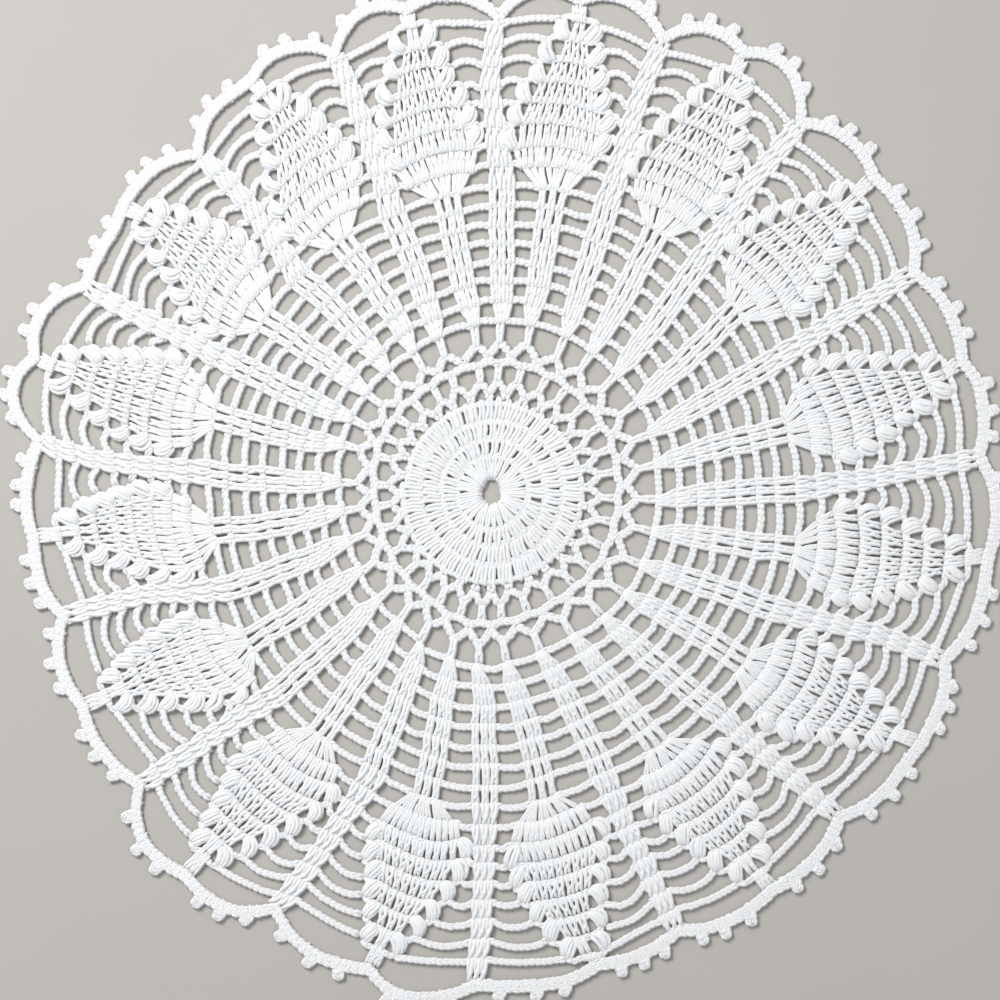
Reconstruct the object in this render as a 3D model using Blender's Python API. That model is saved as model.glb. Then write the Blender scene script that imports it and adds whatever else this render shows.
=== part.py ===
"""Round crocheted lace doily, sixteen pineapples about a netted centre, lying flat.

One closed sheet: a filled outline with its scalloped, toothed rim and its open work cut through.
Nominal radii name a row of the pattern. The table of spokes says where the rows really lie.
"""

import math
from collections import namedtuple

import bpy

DOILY = "doily"
MM = 0.001
THICKNESS = 2.4

COTTON_COLOUR = (0.86, 0.87, 0.87, 1.0)
COTTON_ROUGHNESS = 0.9

# Nominal radii of the pattern in millimetres, from the centre out. PAST_TIP only ends the last stretch.
CENTRE_HOLE = 5.0
CENTRE_HOLE_POINTS = 12
DISC_EDGE = 40.0
NET_VALLEY = 65.5
NET_SHOULDER = 69.0
NET_BAR = 75.0
SPOKE_ROWS = 8
PINEAPPLE_ROWS = 8
PINEAPPLE_START = 136.4
PINEAPPLE_TIP = 208.0
RIM_RING = 219.0
WAIST = 180.0
PAST_TIP = 20.0

# How the rows lie: where the outer bars begin to sag and hang fully, how much of the net's shift
# the disc's edge shares, and how far toward the next gap, in spokes, a spoke's side takes its radius.
SAG_STARTS = PINEAPPLE_START + 20.0
SAG_FULL = WAIST
DISC_PULL = 0.25
SIDE_PLACE = 0.3

# Widths of what is left between the gaps, in millimetres.
HALF_BAR = 1.5
HALF_PILLAR = 1.5
HALF_SPOKE_FOOT = 3.6
HALF_SPOKE = 5.0
HALF_DIVIDER = 4.6
HALF_TIP_PILLAR = 3.4
RIM_BAND = 4.6
BAR_DIP = 2.0
TIP_SHOULDER = 9.5
LEAST_OPENING = 2.4
TIP_LIFT = 3.0
PILLAR_FLARE = 0.8

# Openings between the spokes: from the top of one row to that of another, and the steps of their edges.
Opening = namedtuple("Opening", "first_row last_row steps")
LADDER_HOLES = (
    Opening(1, 3, 1),
    Opening(3, 5, 1),
    Opening(5, 7, 1),
    Opening(7, 9, 1),
    Opening(11, 13, 2),
    Opening(13, 15, 2),
    Opening(15, 16, 3),
)

# The rim's arches. A share runs from the divider's valley, at 0, to the pineapple's dip, at 1.
ARCH_APEX = 0.65
VALLEY_CURVE = 2.2
DIP_CURVE = 1.8
ARCH_SHARES = (0.1, 0.22, 0.36, 0.52, 0.7, 0.88)
ARCH_STEPS = 3
TEETH = (0.21, 0.47, 0.73)
TOOTH_HALF_WIDTH = 2.6
TOOTH_TOP_SHARE = 0.55
TOOTH_HEIGHT = 4.0
TOOTH_ROOT = 0.3

# How wide a pineapple is at each of its row tops, from its axis to the outside of its puffs.
PINEAPPLE_HALF_WIDTH = (5.6, 13.0, 18.0, 21.8, 22.0, 19.5, 16.0, 12.5, 9.0)

# The doily as it lies, one row for each spoke: dividers and pineapples in turn, clockwise from the top.
# The first four columns are the spoke's bearing in degrees at the net, at the end of the plain rows,
# at the pineapples' waist and at the rim. "dip" is the rim's radius on the spoke. The last four are
# the radii, in millimetres, of the gap that follows it: the net's bar, the last plain row, the
# pineapples' last row and the crown of the rim's arch.
Spoke = namedtuple("Spoke", "net plain waist rim dip net_bar last_plain last_row crown")
SPOKES = (
    Spoke(3.3, 1.9, -0.2, 0.9, 219.0, 79.0, 140.0, 216.5, 228.0),
    Spoke(13.4, 11.5, 10.8, 10.2, 230.0, 79.0, 142.0, 216.5, 230.0),
    Spoke(25.7, 22.0, 20.5, 20.7, 223.0, 79.0, 141.0, 217.5, 231.0),
    Spoke(35.9, 32.4, 31.0, 29.9, 233.0, 78.5, 142.0, 219.5, 233.5),
    Spoke(47.1, 42.2, 40.0, 39.9, 221.5, 78.5, 139.0, 211.5, 226.0),
    Spoke(59.0, 53.2, 51.3, 50.5, 228.0, 78.5, 139.5, 212.5, 224.5),
    Spoke(70.1, 65.2, 63.2, 62.5, 219.0, 77.0, 137.5, 208.5, 221.5),
    Spoke(80.7, 78.0, 76.2, 74.6, 225.0, 77.0, 139.0, 216.0, 224.5),
    Spoke(92.8, 89.4, 87.3, 85.8, 225.0, 76.5, 140.5, 216.0, 227.5),
    Spoke(103.7, 100.9, 99.6, 97.3, 230.5, 76.5, 141.0, 218.0, 225.5),
    Spoke(115.9, 112.4, 110.1, 110.3, 222.0, 77.0, 139.0, 213.0, 223.5),
    Spoke(127.5, 123.9, 122.0, 120.3, 229.0, 77.0, 139.0, 210.5, 222.5),
    Spoke(138.2, 134.5, 133.6, 133.0, 219.0, 76.0, 138.0, 208.5, 220.0),
    Spoke(150.5, 146.8, 145.7, 144.8, 224.0, 76.5, 139.0, 209.0, 220.5),
    Spoke(163.2, 158.5, 157.6, 157.0, 219.0, 78.0, 140.0, 212.5, 218.5),
    Spoke(175.3, 170.2, 170.0, 167.3, 222.5, 79.5, 143.5, 214.5, 222.5),
    Spoke(184.6, 181.3, 181.1, 181.8, 226.5, 80.0, 143.5, 216.5, 230.0),
    Spoke(194.2, 192.2, 192.3, 194.3, 226.5, 78.0, 140.0, 208.0, 223.0),
    Spoke(205.4, 202.9, 205.4, 207.5, 215.5, 73.5, 135.5, 211.0, 222.5),
    Spoke(215.7, 215.3, 217.0, 218.8, 225.5, 72.5, 135.5, 206.5, 222.5),
    Spoke(226.5, 227.0, 229.0, 230.3, 210.5, 71.0, 130.0, 196.5, 210.0),
    Spoke(239.0, 238.2, 241.5, 242.3, 212.5, 69.0, 129.0, 195.5, 209.0),
    Spoke(251.5, 250.3, 253.8, 253.9, 205.0, 68.5, 127.5, 193.5, 207.0),
    Spoke(263.0, 262.0, 264.5, 264.5, 212.0, 68.5, 129.0, 197.5, 209.0),
    Spoke(274.0, 273.9, 274.3, 276.5, 209.5, 70.5, 130.5, 207.0, 220.0),
    Spoke(288.0, 285.5, 285.6, 286.4, 219.0, 72.5, 132.0, 204.0, 218.0),
    Spoke(297.7, 296.5, 296.5, 297.0, 209.5, 72.5, 129.5, 199.0, 206.5),
    Spoke(308.6, 307.3, 309.0, 308.0, 215.0, 73.0, 131.0, 202.5, 210.5),
    Spoke(319.5, 318.3, 320.0, 319.0, 206.0, 72.5, 132.0, 203.5, 213.5),
    Spoke(331.0, 329.0, 331.0, 330.0, 220.0, 74.5, 135.0, 210.0, 220.0),
    Spoke(341.0, 340.6, 340.9, 340.3, 214.5, 75.5, 135.5, 211.0, 224.5),
    Spoke(354.3, 351.3, 350.0, 350.0, 225.5, 78.5, 138.0, 214.5, 224.5),
)
COUNT = len(SPOKES)
BEARING_RADII = (NET_SHOULDER, PINEAPPLE_START, WAIST, RIM_RING)


def clear_scene():
    for thing in list(bpy.data.objects):
        bpy.data.objects.remove(thing, do_unlink=True)


def mix(low, high, share):
    return low + (high - low) * share


def along(value, stops, heights):
    """Straight-line interpolation of heights over rising stops, level past both ends."""
    if value <= stops[0]:
        return heights[0]
    for low, high, start, end in zip(stops, stops[1:], heights, heights[1:]):
        if value <= high:
            return mix(start, end, (value - low) / (high - low))
    return heights[-1]


def gap_value(name, place):
    """A gap's column at any place round the doily: gap g is at g + 0.5, and spokes lie between gaps."""
    low = math.floor(place - 0.5)
    before = getattr(SPOKES[low % COUNT], name)
    after = getattr(SPOKES[(low + 1) % COUNT], name)
    return mix(before, after, place - 0.5 - low)


def bearing(number, nominal):
    """The bearing in radians of a whole spoke at a nominal radius, counting on past 360 degrees."""
    turns, index = divmod(number, COUNT)
    spoke = SPOKES[index]
    degrees = along(nominal, BEARING_RADII, (spoke.net, spoke.plain, spoke.waist, spoke.rim))
    return math.radians(degrees + 360.0 * turns)


def radius(place, nominal):
    """Where a nominal radius really lies at a place round the doily."""
    net_bar = gap_value("net_bar", place)
    disc = DISC_EDGE + DISC_PULL * (net_bar - NET_BAR)
    last_row = gap_value("last_row", place)
    stops = (0.0, DISC_EDGE, NET_BAR, PINEAPPLE_START, PINEAPPLE_TIP, PINEAPPLE_TIP + PAST_TIP)
    lies = (0.0, disc, net_bar, gap_value("last_plain", place), last_row, last_row + PAST_TIP)
    return along(nominal, stops, lies)


def point(angle, distance):
    """Bearings run clockwise from +Y."""
    return (distance * math.sin(angle), distance * math.cos(angle))


def dip(nominal):
    """How far the outer rows' bars sag at the spokes below their middles."""
    return along(nominal, (SAG_STARTS, SAG_FULL), (0.0, BAR_DIP))


def side_place(number, side, half_width, nominal):
    """Bearing and radius beside a spoke, the half width off its axis, clockwise where side is 1."""
    distance = radius(number + SIDE_PLACE * side, nominal) - dip(nominal)
    return bearing(number, nominal) + side * half_width / distance, distance


def bar_edge(gap, nominal, left_width, right_width, steps):
    """One edge of a bar across a gap, arched between its two spokes."""
    left_angle, left_radius = side_place(gap, 1, left_width, nominal)
    right_angle, right_radius = side_place(gap + 1, -1, right_width, nominal)
    lack = LEAST_OPENING / left_radius - (right_angle - left_angle)
    if lack > 0:
        left_angle -= 0.5 * lack
        right_angle += 0.5 * lack
    edge = []
    for step in range(steps + 1):
        share = step / steps
        arch = 4 * share * (1 - share) * dip(nominal)
        distance = mix(left_radius, right_radius, share) + arch
        edge.append(point(mix(left_angle, right_angle, share), distance))
    return edge


def row_top(row):
    """Nominal radius of a row's top, row 1 being the net's bar."""
    if row <= SPOKE_ROWS:
        return mix(NET_BAR, PINEAPPLE_START, (row - 1) / (SPOKE_ROWS - 1))
    return mix(PINEAPPLE_START, PINEAPPLE_TIP, (row - SPOKE_ROWS) / PINEAPPLE_ROWS)


def is_pineapple(number):
    return number % 2 == 1


def half_width(number, row):
    """Half of a spoke's width at a row's top, with the puffs where it is a pineapple."""
    if row <= 1:
        return HALF_SPOKE_FOOT
    if row < SPOKE_ROWS:
        return HALF_SPOKE
    if is_pineapple(number):
        return PINEAPPLE_HALF_WIDTH[row - SPOKE_ROWS]
    return HALF_DIVIDER


def net_hole(gap):
    """The five-sided hole between two pillars of the net."""
    angle = mix(bearing(gap, NET_VALLEY), bearing(gap + 1, NET_VALLEY), 0.5)
    top = HALF_PILLAR + PILLAR_FLARE
    lower = bar_edge(gap, NET_SHOULDER, HALF_PILLAR, HALF_PILLAR, 1)
    upper = bar_edge(gap, NET_BAR - HALF_BAR, top, top, 1)
    return [point(angle, radius(gap + 0.5, NET_VALLEY))] + lower[1:] + upper[::-1] + lower[:1]


def ladder_hole(gap, opening):
    """The opening between two spokes from one row's top to another's."""
    rows = (opening.first_row, opening.last_row)
    low, high = [[half_width(gap + side, row) for side in (0, 1)] for row in rows]
    lower = bar_edge(gap, row_top(rows[0]) + HALF_BAR, *low, opening.steps)
    upper = bar_edge(gap, row_top(rows[1]) - HALF_BAR, *high, opening.steps)
    if opening.first_row < SPOKE_ROWS - 1:
        return lower + upper[::-1]
    middle = row_top(0.5 * sum(rows))
    before = point(*side_place(gap, 1, 0.5 * (low[0] + high[0]), middle))
    after = point(*side_place(gap + 1, -1, 0.5 * (low[1] + high[1]), middle))
    return lower + [after] + upper[::-1] + [before]


def rim_line(gap, share):
    """Bearing and radius of the rim's outer edge, without teeth, a share of the way along an arch."""
    before = SPOKES[gap % COUNT]
    after = SPOKES[(gap + 1) % COUNT]
    angle = mix(bearing(gap, RIM_RING), bearing(gap + 1, RIM_RING), share)
    crown = before.crown + RIM_BAND
    from_divider = 1 - share if is_pineapple(gap) else share
    valley, dip_end = (after.dip, before.dip) if is_pineapple(gap) else (before.dip, after.dip)
    if from_divider <= ARCH_APEX:
        return angle, mix(crown, valley, (1 - from_divider / ARCH_APEX) ** VALLEY_CURVE)
    return angle, mix(crown, dip_end, ((from_divider - ARCH_APEX) / (1 - ARCH_APEX)) ** DIP_CURVE)


def arch_hole(gap):
    """The crescent between the pineapples' last row and the rim."""
    low = PINEAPPLE_TIP + HALF_BAR
    widths = [TIP_SHOULDER if is_pineapple(gap + side) else HALF_DIVIDER for side in (0, 1)]
    lower = bar_edge(gap, low, *widths, ARCH_STEPS)
    if is_pineapple(gap):
        lower.insert(0, point(*side_place(gap, 1, HALF_TIP_PILLAR, low + TIP_LIFT)))
    else:
        lower.append(point(*side_place(gap + 1, -1, HALF_TIP_PILLAR, low + TIP_LIFT)))
    upper = []
    for share in ARCH_SHARES:
        along_arch = 1 - share if is_pineapple(gap) else share
        angle, distance = rim_line(gap, along_arch)
        upper.append(point(angle, distance - RIM_BAND))
    if is_pineapple(gap):
        upper.reverse()
    return lower + upper[::-1]


def tooth(gap, share):
    """The four corners of one tooth, standing on the rim."""
    angle, distance = rim_line(gap, share)
    half = TOOTH_HALF_WIDTH / distance
    top = distance + TOOTH_HEIGHT
    root = distance - TOOTH_ROOT
    return [
        point(angle - half, root),
        point(angle - TOOTH_TOP_SHARE * half, top),
        point(angle + TOOTH_TOP_SHARE * half, top),
        point(angle + half, root),
    ]


def rim_outline():
    """The doily's scalloped outer edge, with its teeth."""
    outline = []
    for gap in range(COUNT):
        outline.append(point(*rim_line(gap, 0.0)))
        shares = [1 - share for share in reversed(TEETH)] if is_pineapple(gap) else TEETH
        outline.append(point(*rim_line(gap, 0.5 * shares[0])))
        for share in shares:
            outline += tooth(gap, share)
        outline.append(point(*rim_line(gap, 0.5 * (1 + shares[-1]))))
    return outline


def centre_hole():
    turn = 2 * math.pi / CENTRE_HOLE_POINTS
    return [point(step * turn, CENTRE_HOLE) for step in range(CENTRE_HOLE_POINTS)]


def open_work():
    """Every opening that is cut. The ladders between the spokes are cut at twice their real pitch."""
    holes = [centre_hole()]
    for gap in range(COUNT):
        holes.append(net_hole(gap))
        holes += [ladder_hole(gap, opening) for opening in LADDER_HOLES]
        holes.append(arch_hole(gap))
    return holes


def bed_centre(outline):
    """Middle of the outline's own box, which becomes the part's origin."""
    spans = [(min(values), max(values)) for values in zip(*outline)]
    return [0.5 * (low + high) for low, high in spans]


def add_loop(curve, loop, centre):
    spline = curve.splines.new("POLY")
    spline.points.add(len(loop) - 1)
    spline.use_cyclic_u = True
    for target, (x, y) in zip(spline.points, loop):
        target.co = ((x - centre[0]) * MM, (y - centre[1]) * MM, 0.0, 1.0)


def cotton_material():
    material = bpy.data.materials.new("white_cotton")
    material.use_nodes = True
    shader = material.node_tree.nodes["Principled BSDF"]
    shader.inputs["Base Color"].default_value = COTTON_COLOUR
    shader.inputs["Roughness"].default_value = COTTON_ROUGHNESS
    shader.inputs["Metallic"].default_value = 0.0
    return material


def build_doily(collection):
    outline = rim_outline()
    centre = bed_centre(outline)
    curve = bpy.data.curves.new(DOILY, "CURVE")
    curve.dimensions = "2D"
    curve.fill_mode = "BOTH"
    curve.extrude = 0.5 * THICKNESS * MM
    for loop in [outline] + open_work():
        add_loop(curve, loop, centre)
    curve.materials.append(cotton_material())
    doily = bpy.data.objects.new(DOILY, curve)
    doily.location.z = 0.5 * THICKNESS * MM
    collection.objects.link(doily)
    return doily


def main():
    clear_scene()
    collection = bpy.data.collections.new("lace_doily")
    bpy.context.scene.collection.children.link(collection)
    build_doily(collection)


main()
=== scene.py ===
import math
import bmesh
import bpy
import numpy as np
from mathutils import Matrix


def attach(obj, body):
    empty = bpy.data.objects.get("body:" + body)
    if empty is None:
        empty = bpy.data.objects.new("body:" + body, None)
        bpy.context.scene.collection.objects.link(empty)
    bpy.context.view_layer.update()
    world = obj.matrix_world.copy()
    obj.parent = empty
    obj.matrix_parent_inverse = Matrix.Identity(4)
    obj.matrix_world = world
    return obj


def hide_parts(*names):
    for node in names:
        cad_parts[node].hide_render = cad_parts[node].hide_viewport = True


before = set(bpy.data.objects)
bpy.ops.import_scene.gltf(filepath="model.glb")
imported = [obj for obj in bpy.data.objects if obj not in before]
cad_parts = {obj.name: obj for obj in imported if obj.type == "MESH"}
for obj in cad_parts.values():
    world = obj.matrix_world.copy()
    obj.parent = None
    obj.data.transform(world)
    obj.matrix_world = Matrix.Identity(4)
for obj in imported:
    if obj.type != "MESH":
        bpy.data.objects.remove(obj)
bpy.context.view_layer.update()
chance = np.random.default_rng(18)  # all the unevenness comes from here
mm = 0.001

# Where the doily lies, in millimetres and degrees. A radius names a row of the pattern, and the list
# of spokes says where that row really is. One line a spoke, dividers and pineapples in turn, clockwise
# from the top: its bearing at the net, the last plain row, the waist and the rim, the rim's radius on
# it, then for the gap after it the net's bar, the last plain row, the last row of all and the top of
# the rim's arch, and how far aside the spoke bows between the net and the last plain row.
lay = {
    "bedCentre": (5.986, -0.625),  # the middle of the whole doily, from the middle of the disc
    "bearingStops": (69.0, 136.4, 180.0, 219.0),
    "radiusStops": (0.0, 40.0, 75.0, 136.4, 208.0, 248.0),
    "discPull": 0.25,  # the share of the net's unevenness that reaches the disc
    "sidePlace": 0.3,  # how far into the gap a point beside a spoke may take the gap's radii
    "sagStops": (156.4, 180.0),
    "sag": 2.6,  # the dividers' outer rows lie this much nearer the middle
    "ringOver": 4,
    "spokes": (
        (3.3, 1.9, -0.2, 0.9, 219.0, 79.0, 140.0, 216.5, 228.0, 0.0),
        (13.4, 11.5, 10.8, 10.2, 230.0, 79.0, 142.0, 216.5, 230.0, 0.0),
        (25.7, 22.0, 20.5, 20.7, 223.0, 79.0, 141.0, 217.5, 231.0, -1.0),
        (35.9, 32.4, 31.0, 29.9, 233.0, 78.5, 142.0, 219.5, 233.5, -0.5),
        (47.1, 42.2, 40.0, 39.9, 221.5, 78.5, 139.0, 211.5, 226.0, -0.5),
        (59.0, 53.2, 51.3, 50.5, 228.0, 78.5, 139.5, 212.5, 224.5, -0.5),
        (70.1, 65.2, 63.2, 62.5, 219.0, 77.0, 137.5, 208.5, 221.5, -1.0),
        (80.7, 78.0, 76.2, 74.6, 225.0, 77.0, 139.0, 216.0, 224.5, -1.5),
        (92.8, 89.4, 87.3, 85.8, 225.0, 76.5, 140.5, 216.0, 227.5, -1.5),
        (103.7, 100.9, 99.6, 97.3, 230.5, 76.5, 141.0, 218.0, 225.5, -1.0),
        (115.9, 112.4, 110.1, 110.3, 222.0, 77.0, 139.0, 213.0, 223.5, -1.5),
        (127.5, 123.9, 122.0, 120.3, 229.0, 77.0, 139.0, 210.5, 222.5, -2.0),
        (138.2, 134.5, 133.6, 133.0, 219.0, 76.0, 138.0, 208.5, 220.0, 0.0),
        (150.5, 146.8, 145.7, 144.8, 224.0, 76.5, 139.0, 209.0, 220.5, -1.0),
        (163.2, 158.5, 157.6, 157.0, 219.0, 78.0, 140.0, 212.5, 218.5, -2.5),
        (175.3, 170.2, 170.0, 167.3, 222.5, 79.5, 143.5, 214.5, 222.5, -2.5),
        (184.6, 181.3, 181.1, 181.8, 226.5, 80.0, 143.5, 216.5, 230.0, -2.5),
        (194.2, 192.2, 192.3, 194.3, 226.5, 78.0, 140.0, 208.0, 223.0, -1.0),
        (205.4, 202.9, 205.4, 207.5, 215.5, 73.5, 135.5, 211.0, 222.5, -1.0),
        (215.7, 215.3, 217.0, 218.8, 225.5, 72.5, 135.5, 206.5, 222.5, -0.5),
        (226.5, 227.0, 229.0, 230.3, 210.5, 71.0, 130.0, 196.5, 210.0, -0.5),
        (239.0, 238.2, 241.5, 242.3, 212.5, 69.0, 129.0, 195.5, 209.0, -0.5),
        (251.5, 250.3, 253.8, 253.9, 205.0, 68.5, 127.5, 193.5, 207.0, -1.5),
        (263.0, 262.0, 264.5, 264.5, 212.0, 68.5, 129.0, 197.5, 209.0, -1.5),
        (274.0, 273.9, 274.3, 276.5, 209.5, 70.5, 130.5, 207.0, 220.0, -1.5),
        (288.0, 285.5, 285.6, 286.4, 219.0, 72.5, 132.0, 204.0, 218.0, -2.0),
        (297.7, 296.5, 296.5, 297.0, 209.5, 72.5, 129.5, 199.0, 206.5, -1.0),
        (308.6, 307.3, 309.0, 308.0, 215.0, 73.0, 131.0, 202.5, 210.5, 0.5),
        (319.5, 318.3, 320.0, 319.0, 206.0, 72.5, 132.0, 203.5, 213.5, 1.5),
        (331.0, 329.0, 331.0, 330.0, 220.0, 74.5, 135.0, 210.0, 220.0, 1.5),
        (341.0, 340.6, 340.9, 340.3, 214.5, 75.5, 135.5, 211.0, 224.5, 1.0),
        (354.3, 351.3, 350.0, 350.0, 225.5, 78.5, 138.0, 214.5, 224.5, -1.0),
    ),
}
spokes = np.array(lay["spokes"])
bearings, edges, gapRadii, crowns, bows = (
    spokes[:, :4], spokes[:, 4], spokes[:, 5:8], spokes[:, 8], spokes[:, 9])
count = len(spokes)
around = np.arange(count)
dividers = around[0::2]
pineapples = around[1::2]
ringNumbers = np.arange(-lay["ringOver"], count + lay["ringOver"] + 1)  # some over again, so it closes
ringBearings = bearings[ringNumbers % count] + 360.0 * (ringNumbers // count)[:, None]
ringGaps = gapRadii[ringNumbers % count]


def between(value, stops, lies):
    value, *lies = np.broadcast_arrays(value, *lies)
    stops, lies = np.array(stops), np.stack(lies)
    part = np.clip(np.searchsorted(stops, value, side="right") - 1, 0, len(stops) - 2)
    share = (value - stops[part]) / (stops[part + 1] - stops[part])
    low = np.take_along_axis(lies, part[None], 0)[0]
    high = np.take_along_axis(lies, part[None] + 1, 0)[0]
    return low + (high - low) * share


def bearing(place, nominal):
    stops = lay["bearingStops"]
    lies = [np.interp(place, ringNumbers, lie) for lie in ringBearings.T]
    return np.radians(between(np.clip(nominal, stops[0], stops[-1]), stops, lies))


def radius(place, nominal):
    bar, plain, last = [np.interp(place, ringNumbers + 0.5, lie) for lie in ringGaps.T]
    _, disc, net, _, end, past = lay["radiusStops"]
    disc = disc + lay["discPull"] * (bar - net)
    return between(nominal, lay["radiusStops"], [0 * bar, disc, bar, plain, last, last + past - end])


def onBed(angle, distance):
    x = distance * np.sin(angle) - lay["bedCentre"][0]
    y = distance * np.cos(angle) - lay["bedCentre"][1]
    return np.stack([x, y], -1)


def sag(nominal):
    return np.interp(nominal, lay["sagStops"], (0.0, lay["sag"]))


def spot(number, nominal, aside=0.0, out=0.0):  # aside is clockwise of the spoke
    number, nominal, aside, out = np.broadcast_arrays(number, nominal, aside, out)
    width = radius(number, nominal) * 2 * math.pi / count
    toward = np.clip(aside / width, -lay["sidePlace"], lay["sidePlace"])
    distance = radius(number + toward, nominal) + out
    return onBed(bearing(number, nominal) + aside / distance, distance)


# The rows, numbered from 1: the net's bar, seven plain rows, then the pineapples' eight. Each spoke
# pulls each row about a bit.
rows = {
    "netBar": 75.0,
    "lastPlain": 136.4,
    "last": 208.0,
    "plain": 8,  # with the net's bar
    "pineapple": 8,
    "drawn": 18,
    "pullOut": 0.3,
    "pullAside": 0.25,
    "moved": {1: -0.3, 3: 0.4, 8: -0.4, 14: 0.3},  # rows that lie off an even pitch
    "bow": (0.0, 0.0, 0.6, 1.0, 1.0, 1.0, 0.9, 0.5),  # the share of a spoke's bow, from row 0
}
pullOut = chance.normal(0, rows["pullOut"], (count, rows["drawn"]))
pullAside = chance.normal(0, rows["pullAside"], (count, rows["drawn"]))
pullAside[:, :len(rows["bow"])] += bows[:, None] * rows["bow"]
for row, moved in rows["moved"].items():
    pullOut[:, row] += moved


def rowTop(row):
    if row <= rows["plain"]:
        return rows["netBar"] + (rows["lastPlain"] - rows["netBar"]) * (row - 1) / (rows["plain"] - 1)
    share = (row - rows["plain"]) / rows["pineapple"]
    return rows["lastPlain"] + (rows["last"] - rows["lastPlain"]) * share


def rowSpot(number, row, aside=0.0, out=0.0):
    home = number % count
    return spot(number, rowTop(row), aside + pullAside[home, row], out + pullOut[home, row])


# One thread makes every stitch. A strand's points are (mm across, share of the way up, mm high).
thread = {
    "post": 0.92,  # half thicknesses
    "loop": 0.93,
    "wrap": 0.56,
    "spine": 0.95,
    "spineHeight": 1.6,
    "sides": 5,
    "loopSides": 4,
    "plies": 3,
    "plyTurn": 3.4,
    "endTaper": 0.6,
    "steep": 0.7,
    "uneven": 0.2,
    "stray": 0.11,
    "linkStray": 0.055,
    "linkHeight": 0.06,
    "runOn": 6.0,  # a chain's line goes on this far past its ends
    "lookAlong": 0.4,
    "legLeft": (
        (-0.55, -0.12, 1.60), (-0.80, 0.02, 2.05), (-0.56, 0.22, 1.75),
        (-0.82, 0.44, 1.58), (-0.94, 0.72, 1.50), (-0.96, 0.97, 1.15),
    ),
    "legRight": (
        (0.45, -0.09, 1.50), (0.86, 0.05, 2.00), (0.66, 0.27, 1.65),
        (0.84, 0.47, 1.62), (0.93, 0.76, 1.52), (0.98, 0.98, 1.15),
    ),
    "ovalLeft": (
        (-0.50, -0.14, 1.30), (-0.88, 0.12, 1.95), (-0.60, 0.38, 1.70),
        (-0.55, 0.64, 1.66), (-0.62, 0.92, 1.90), (-0.12, 1.10, 1.50),
    ),
    "ovalRight": (
        (0.60, -0.10, 1.30), (0.92, 0.14, 1.80), (1.20, 0.40, 1.60),
        (1.24, 0.66, 1.60), (0.86, 0.92, 1.80), (0.16, 1.06, 1.50),
    ),
    "fullLeft": (
        (-0.60, -0.20, 1.30), (-0.94, -0.02, 2.00), (-0.90, 0.16, 1.85),
        (-0.74, 0.38, 1.60), (-0.92, 0.72, 1.55), (-0.98, 0.97, 1.20),
    ),
    "fullRight": (
        (0.55, -0.17, 1.25), (0.98, 0.02, 1.95), (0.92, 0.22, 1.80),
        (0.76, 0.46, 1.62), (0.93, 0.76, 1.55), (0.98, 0.98, 1.20),
    ),
    "waistLeft": (
        (-0.60, -0.20, 1.30), (-0.98, -0.02, 2.00), (-0.95, 0.22, 1.85),
        (-0.60, 0.42, 1.65), (-0.66, 0.59, 1.60), (-1.05, 0.84, 1.35),
    ),
    "waistRight": (
        (0.55, -0.17, 1.25), (1.00, 0.02, 1.95), (0.97, 0.26, 1.75),
        (0.62, 0.46, 1.50), (0.68, 0.62, 1.55), (1.05, 0.86, 1.35),
    ),
    "core": (
        (0.00, 0.02, 0.95), (0.25, 0.35, 1.05), (0.30, 0.65, 1.05), (0.00, 0.96, 0.95),
    ),
    "twistLeft": (
        (-0.60, -0.20, 1.30), (-0.98, 0.00, 2.05), (-0.95, 0.24, 1.90),
        (-0.62, 0.48, 1.90), (0.42, 0.72, 1.90), (0.98, 0.97, 1.20),
    ),
    "twistRight": (
        (0.60, -0.16, 1.30), (1.02, 0.04, 1.95), (0.98, 0.28, 1.70),
        (0.72, 0.50, 1.25), (-0.40, 0.76, 1.10), (-1.00, 0.98, 1.20),
    ),
    "wrapOver": (
        (-0.95, 0.36, 1.25), (-0.45, 0.43, 2.15), (0.40, 0.54, 2.15), (1.00, 0.62, 1.35),
    ),
    "link": (
        (-0.34, -0.25, 1.05), (-0.58, 0.10, 1.68), (-0.80, 0.46, 1.60), (-0.76, 1.00, 1.15),
        (0.76, 1.00, 1.15), (0.80, 0.46, 1.60), (0.58, 0.10, 1.68), (0.34, -0.25, 1.05),
    ),
    "shortLeft": (
        (-0.45, -0.15, 0.95), (-0.75, 0.25, 1.70), (-0.82, 0.70, 1.65), (-0.60, 1.05, 1.05),
    ),
    "shortRight": (
        (0.45, -0.15, 0.95), (0.70, 0.30, 1.60), (0.85, 0.72, 1.70), (0.60, 1.08, 1.05),
    ),
}
wave = {  # the doily doesn't lie dead flat
    "height": 0.16,
    "across": (0.021, 0.9),  # radians a millimetre, and where the wave starts
    "up": (0.018, -0.4),
    "slant": (0.047, -0.035),
    "slantShare": 0.5,
    "base": 1.5,
}


def lift(points):
    x, y = points[..., 0], points[..., 1]
    (acrossPitch, acrossStart), (upPitch, upStart) = wave["across"], wave["up"]
    broad = np.sin(acrossPitch * x + acrossStart) * np.sin(upPitch * y + upStart)
    slanted = wave["slantShare"] * np.sin(wave["slant"][0] * x + wave["slant"][1] * y)
    return wave["height"] * (broad + slanted + wave["base"])


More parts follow.
